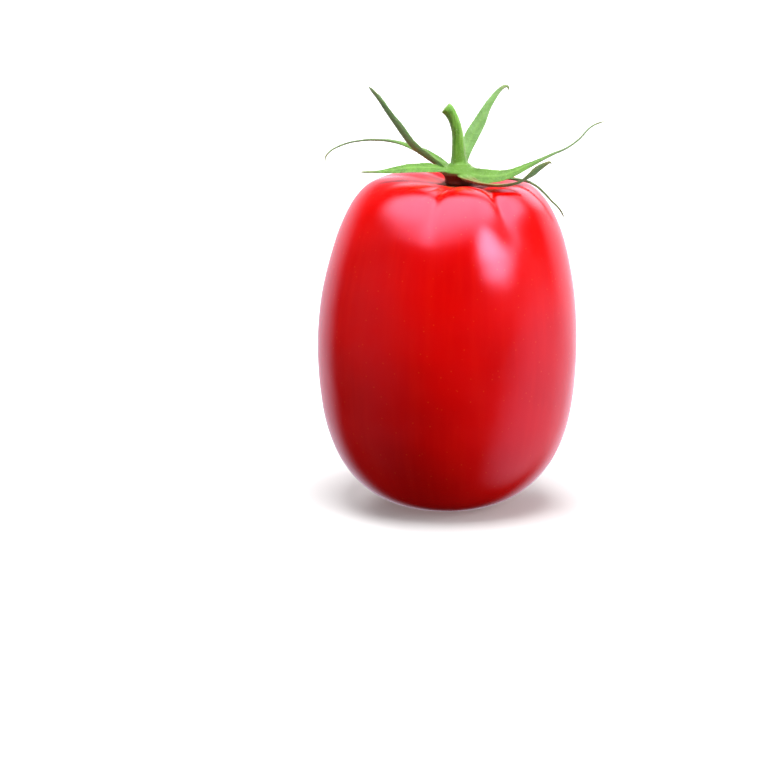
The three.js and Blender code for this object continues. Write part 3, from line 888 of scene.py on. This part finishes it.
set_fixed(shader, {
    "IOR": 1.4,
    "Sheen Weight": 0.2,
    "Sheen Roughness": 0.4,
    "Sheen Tint": (0.85, 1.0, 0.75, 1),
    "Subsurface Weight": 0.15,
    "Subsurface Scale": 0.0008,
    "Subsurface Radius": (0.5, 1.0, 0.2),
})
stalk = piece_from("stalk", stalk_mesh, stalk_green)
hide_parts("stem")

# %% [markdown]
# ## Down on the stalk and the sepals
# Tomato stalks and sepals carry short fine hairs, which give them their soft outline. Hair curves would not
# survive as a mesh, so each hair is a tiny three-sided spike. It is made once, from a cone, and its corners
# are copied to random places on the piece, turned to the surface and tilted a little. The random numbers
# start from a fixed seed, so they fall the same way each time.

# %% One hair
def spike():
    """One hair, a millimetre long and a millimetre thick, its foot at the origin."""
    bm = bmesh.new()
    bmesh.ops.create_cone(bm, cap_ends=True, cap_tris=True, segments=3, radius1=0.5, radius2=0.0, depth=1.0)
    bmesh.ops.translate(bm, verts=bm.verts, vec=(0, 0, 0.5))
    bmesh.ops.remove_doubles(bm, verts=bm.verts, dist=1e-5)
    return mesh_from("spike", bm)


one_hair = spike()
print("one hair:", len(one_hair.polygons), "faces")

# %% Many hairs
THINNEST, THICKEST = 0.035, 0.055
ROOT_DEPTH = 0.04


def hairs_on(name, wearer, count, shortest, longest, material, seed, bare):
    """Scatters hairs over a piece. bare(place) is True where none grow."""
    draw = random.Random(seed)
    corners = np.array([v.co for v in one_hair.vertices])
    spike_faces = [tuple(p.vertices) for p in one_hair.polygons]
    wearer_mesh = wearer.data
    areas = np.array([p.area for p in wearer_mesh.polygons])
    picks = draw.choices(range(len(areas)), weights=areas.tolist(), k=count)
    low, high = (Vector(corner) / MM for corner in cad_box)
    verts, faces = [], []
    for pick in picks:
        polygon = wearer_mesh.polygons[pick]
        foot = polygon.center / MM
        lean = Vector((draw.gauss(0, 0.3), draw.gauss(0, 0.3), draw.gauss(0, 0.3)))
        direction = (polygon.normal + lean).normalized()
        length, thick = draw.uniform(shortest, longest), draw.uniform(THINNEST, THICKEST)
        tip = foot + direction * length
        if bare(foot) or any(t < l or t > h for t, l, h in zip(tip, low, high)):
            continue
        turn = np.array(direction.to_track_quat("Z", "Y").to_matrix())
        placed = (corners * (thick, thick, length)) @ turn.T + np.array(foot - direction * ROOT_DEPTH)
        faces += [tuple(i + len(verts) for i in face) for face in spike_faces]
        verts += placed.tolist()
    mesh = bpy.data.meshes.new(name + "_mesh")
    mesh.from_pydata(verts, [], faces)
    return piece_from(name, mesh, material)


print("hairs are", THINNEST, "to", THICKEST, "mm thick")

# %% [markdown]
# ## Where the down grows
# The hairs are paler than what they grow on, and catch the light. None grow under the disc, where they could
# not be seen, on leaf that hangs low, at the stalk's foot inside the disc, or on the fresh cut.

# %% Down
HAIR_GREEN, HAIR_WHITE = (0.25, 0.36, 0.15, 1), (0.45, 0.52, 0.34, 1)
LOWEST_LEAF_HAIR, UNDER_DISC, DISC_REACH = 59, 68.2, 4
LOWEST_STALK_HAIR = 70.4

down, tree, shader = new_material("down")
place = add(tree, "TexCoord", out="Object")
hair_colour = blend(tree, grain(tree, place, 500, 2.0), HAIR_GREEN, HAIR_WHITE)
feed(tree, shader.inputs["Base Color"], hair_colour)
feed(tree, shader.inputs["Roughness"], ramp(tree, grain(tree, place, 300, 2.0), 0.3, 0.7, 0.4, 0.6))
set_fixed(shader, {"IOR": 1.4})


def bare_on_calyx(foot):
    below_disc = foot.z < UNDER_DISC and (foot.xy - LEAN.xy).length < DISC_REACH
    return foot.z < LOWEST_LEAF_HAIR or below_disc


def bare_on_stalk(foot):
    return foot.z < LOWEST_STALK_HAIR or (foot - cut_place).dot(cut_tangent) > -0.1


hairs_on("calyx_down", calyx, 3200, 0.16, 0.42, down, 11, bare_on_calyx)
hairs_on("stalk_down", stalk, 900, 0.2, 0.55, down, 12, bare_on_stalk)

# %% [markdown]
# ## The table
# The fruit stands on a white table that melts into a white background, with a soft shadow under it. A plain
# white plane would look grey beside a white background, because no light is quite enough. So away from the
# fruit it shines for the camera, and close to the fruit it is left to the shadow. It is hidden from the
# fruit, as the room below already holds the table's light.

# %% Table
SHADOW_START, SHADOW_END = 0.015, 0.11

bm = bmesh.new()
bmesh.ops.create_grid(bm, x_segments=1, y_segments=1, size=3.0)
floor = bpy.data.objects.new("floor", mesh_from("floor_mesh", bm))
bpy.context.scene.collection.objects.link(floor)
white, tree, shader = new_material("white_table")
set_fixed(shader, {
    "Base Color": (0.45, 0.45, 0.45, 1),
    "Roughness": 0.8,
    "IOR": 1.2,
    "Emission Color": (1, 1, 1, 1),
})
floor.data.materials.append(white)
far = vectors(tree, "LENGTH", add(tree, "TexCoord", out="Object"), out="Value")
glow = ramp(tree, far, SHADOW_START, SHADOW_END, 0.15, 1.0)
feed(tree, shader.inputs["Emission Strength"], times(tree, glow, add(tree, "LightPath", out="Is Camera Ray")))
floor.visible_glossy = floor.visible_diffuse = False
print("table", [round(side, 1) for side in floor.dimensions], "metres")

# %% [markdown]
# ## The white room
# A shiny skin shows the room around it more than its own colour. Round softboxes in the room would do, but
# their hard edges show in the wax. So the room is painted with round patches of light that fade out softly,
# and only mirror-like rays see them: a broad one overhead in front for the shine on the shoulders, a window
# to the right, a smaller one high up behind, low walls for the light rims, and the table on the right. In
# front it is dark, which keeps the middle of the skin deep red. All other rays see a plain light from both
# sides.

# %% Soft patches
world = bpy.data.worlds.new("white_room")
bpy.context.scene.world = world
world.use_nodes = True
tree = world.node_tree
background = tree.nodes["Background"]
path = tree.nodes.new("ShaderNodeLightPath")
direction = add(tree, "TexCoord", out="Generated")
aside, behind, above = (add(tree, "SeparateXYZ", direction, out=axis) for axis in "XYZ")
ROOM_TINT = (1.0, 0.83, 0.99)
DARK_ROOM, DIM_ROOM = 0.005, 0.07


def towards(turn, up):
    """The direction that is turn degrees to the right of the front, and up degrees above level."""
    a, e = math.radians(turn), math.radians(up)
    return Vector((math.sin(a) * math.cos(e), -math.cos(a) * math.cos(e), math.sin(e)))


def soft_patch(turn, up, inner, outer, glow):
    """A round patch of light: full within inner degrees of its middle, and faded out at outer degrees."""
    closeness = vectors(tree, "DOT_PRODUCT", direction, tuple(towards(turn, up)), out="Value")
    return ramp(tree, closeness, math.cos(math.radians(outer)), math.cos(math.radians(inner)), 0.0, glow)


print("a patch 90 degrees to the right is towards", [round(c, 2) for c in towards(90, 0)])

# %% What the skin mirrors
walls = plus(tree, soft_patch(-156, -6, 10, 41, 1.15), soft_patch(145, -2, 14, 46, 1.6))
table = soft_patch(85, -28, 12, 42, 1.5)
overhead = times(tree, ramp(tree, above, 0.48, 0.82, 0.0, 9.5), ramp(tree, behind, 0.0, 0.5, 1.0, 0.0))
overhead = times(tree, overhead, ramp(tree, aside, 0.66, 0.82, 1.0, 0.5))
behind_right = soft_patch(150, 36, 8, 27, 3.8)
window = times(tree, soft_patch(46, 24, 4, 18, 22.0), ramp(tree, above, 0.14, 0.38))
shines = plus(tree, overhead, plus(tree, window, behind_right))
mirrored = plus(tree, plus(tree, walls, table), plus(tree, shines, DARK_ROOM))
mirrored = vectors(tree, "MULTIPLY", mirrored, ROOM_TINT)
print("room of soft patches:", len(tree.nodes), "nodes")

# %% What lights the rest
sideways = times(tree, times(tree, aside, aside), ramp(tree, behind, 0.0, 0.8, 1.0, 0.5))
falling = maths(tree, "MULTIPLY_ADD", sideways, ramp(tree, aside, -0.3, 0.3, 1.35, 1.8), DIM_ROOM)
lit = blend(tree, path.outputs["Is Glossy Ray"], falling, mirrored)
feed(tree, background.inputs["Color"], blend(tree, path.outputs["Is Camera Ray"], lit, (1, 1, 1, 1)))
print("room finished:", len(tree.nodes), "nodes, plain white for the camera")

# %% [markdown]
# ## Softboxes
# The room alone gives no clear shadow and little shape. Three large square lights add them: one almost
# overhead, one on the right, and a weaker one behind that keeps the back from going dull. Wide lights make
# soft shadows. They are hidden from mirror-like rays, because the room has their mirror images.

# %% Softboxes
AIM = Vector((0, 0, 0.045))  # about the middle of the fruit
SOFTBOX_SIDE, SOFTBOX_AWAY = 0.43, 0.7


def softbox(name, turn, up, power):
    """A square light that faces the fruit. Its own mirror image is left to the room."""
    data = bpy.data.lights.new(name, "AREA")
    data.shape, data.size, data.energy = "SQUARE", SOFTBOX_SIDE, power
    lamp = bpy.data.objects.new(name, data)
    lamp.location = AIM + towards(turn, up) * SOFTBOX_AWAY
    lamp.rotation_euler = towards(turn, up).to_track_quat("Z", "Y").to_euler()
    lamp.visible_camera = lamp.visible_glossy = False
    bpy.context.scene.collection.objects.link(lamp)
    print(name, power, "watts, at", [round(c, 2) for c in lamp.location])


softbox("overhead_softbox", 0, 75, 9.8)
softbox("right_softbox", 60, 20, 3.6)
softbox("back_softbox", 205, 38, 5.0)

# %% [markdown]
# ## The camera
# The photograph looks a little down on the fruit, from far enough away that its far shoulder is hardly
# smaller. A long lens does that, and a short one close by would swell the front.

# %% Camera
SENSOR, LENS = 36.0, 124.1
LOOKS_DOWN = 13  # degrees
camera_data = bpy.data.cameras.new("camera")
camera_data.lens, camera_data.sensor_width = LENS, SENSOR
camera_data.clip_start, camera_data.clip_end = 0.01, 100
camera = bpy.data.objects.new("camera", camera_data)
camera.location = Vector((-12.81, -530.46, 147.30)) * MM
camera.rotation_euler = (math.radians(90 - LOOKS_DOWN), 0, 0)
bpy.context.scene.collection.objects.link(camera)
bpy.context.scene.camera = camera
bpy.context.scene.view_settings.view_transform = "Standard"
print("camera at", [round(c, 3) for c in camera.location])
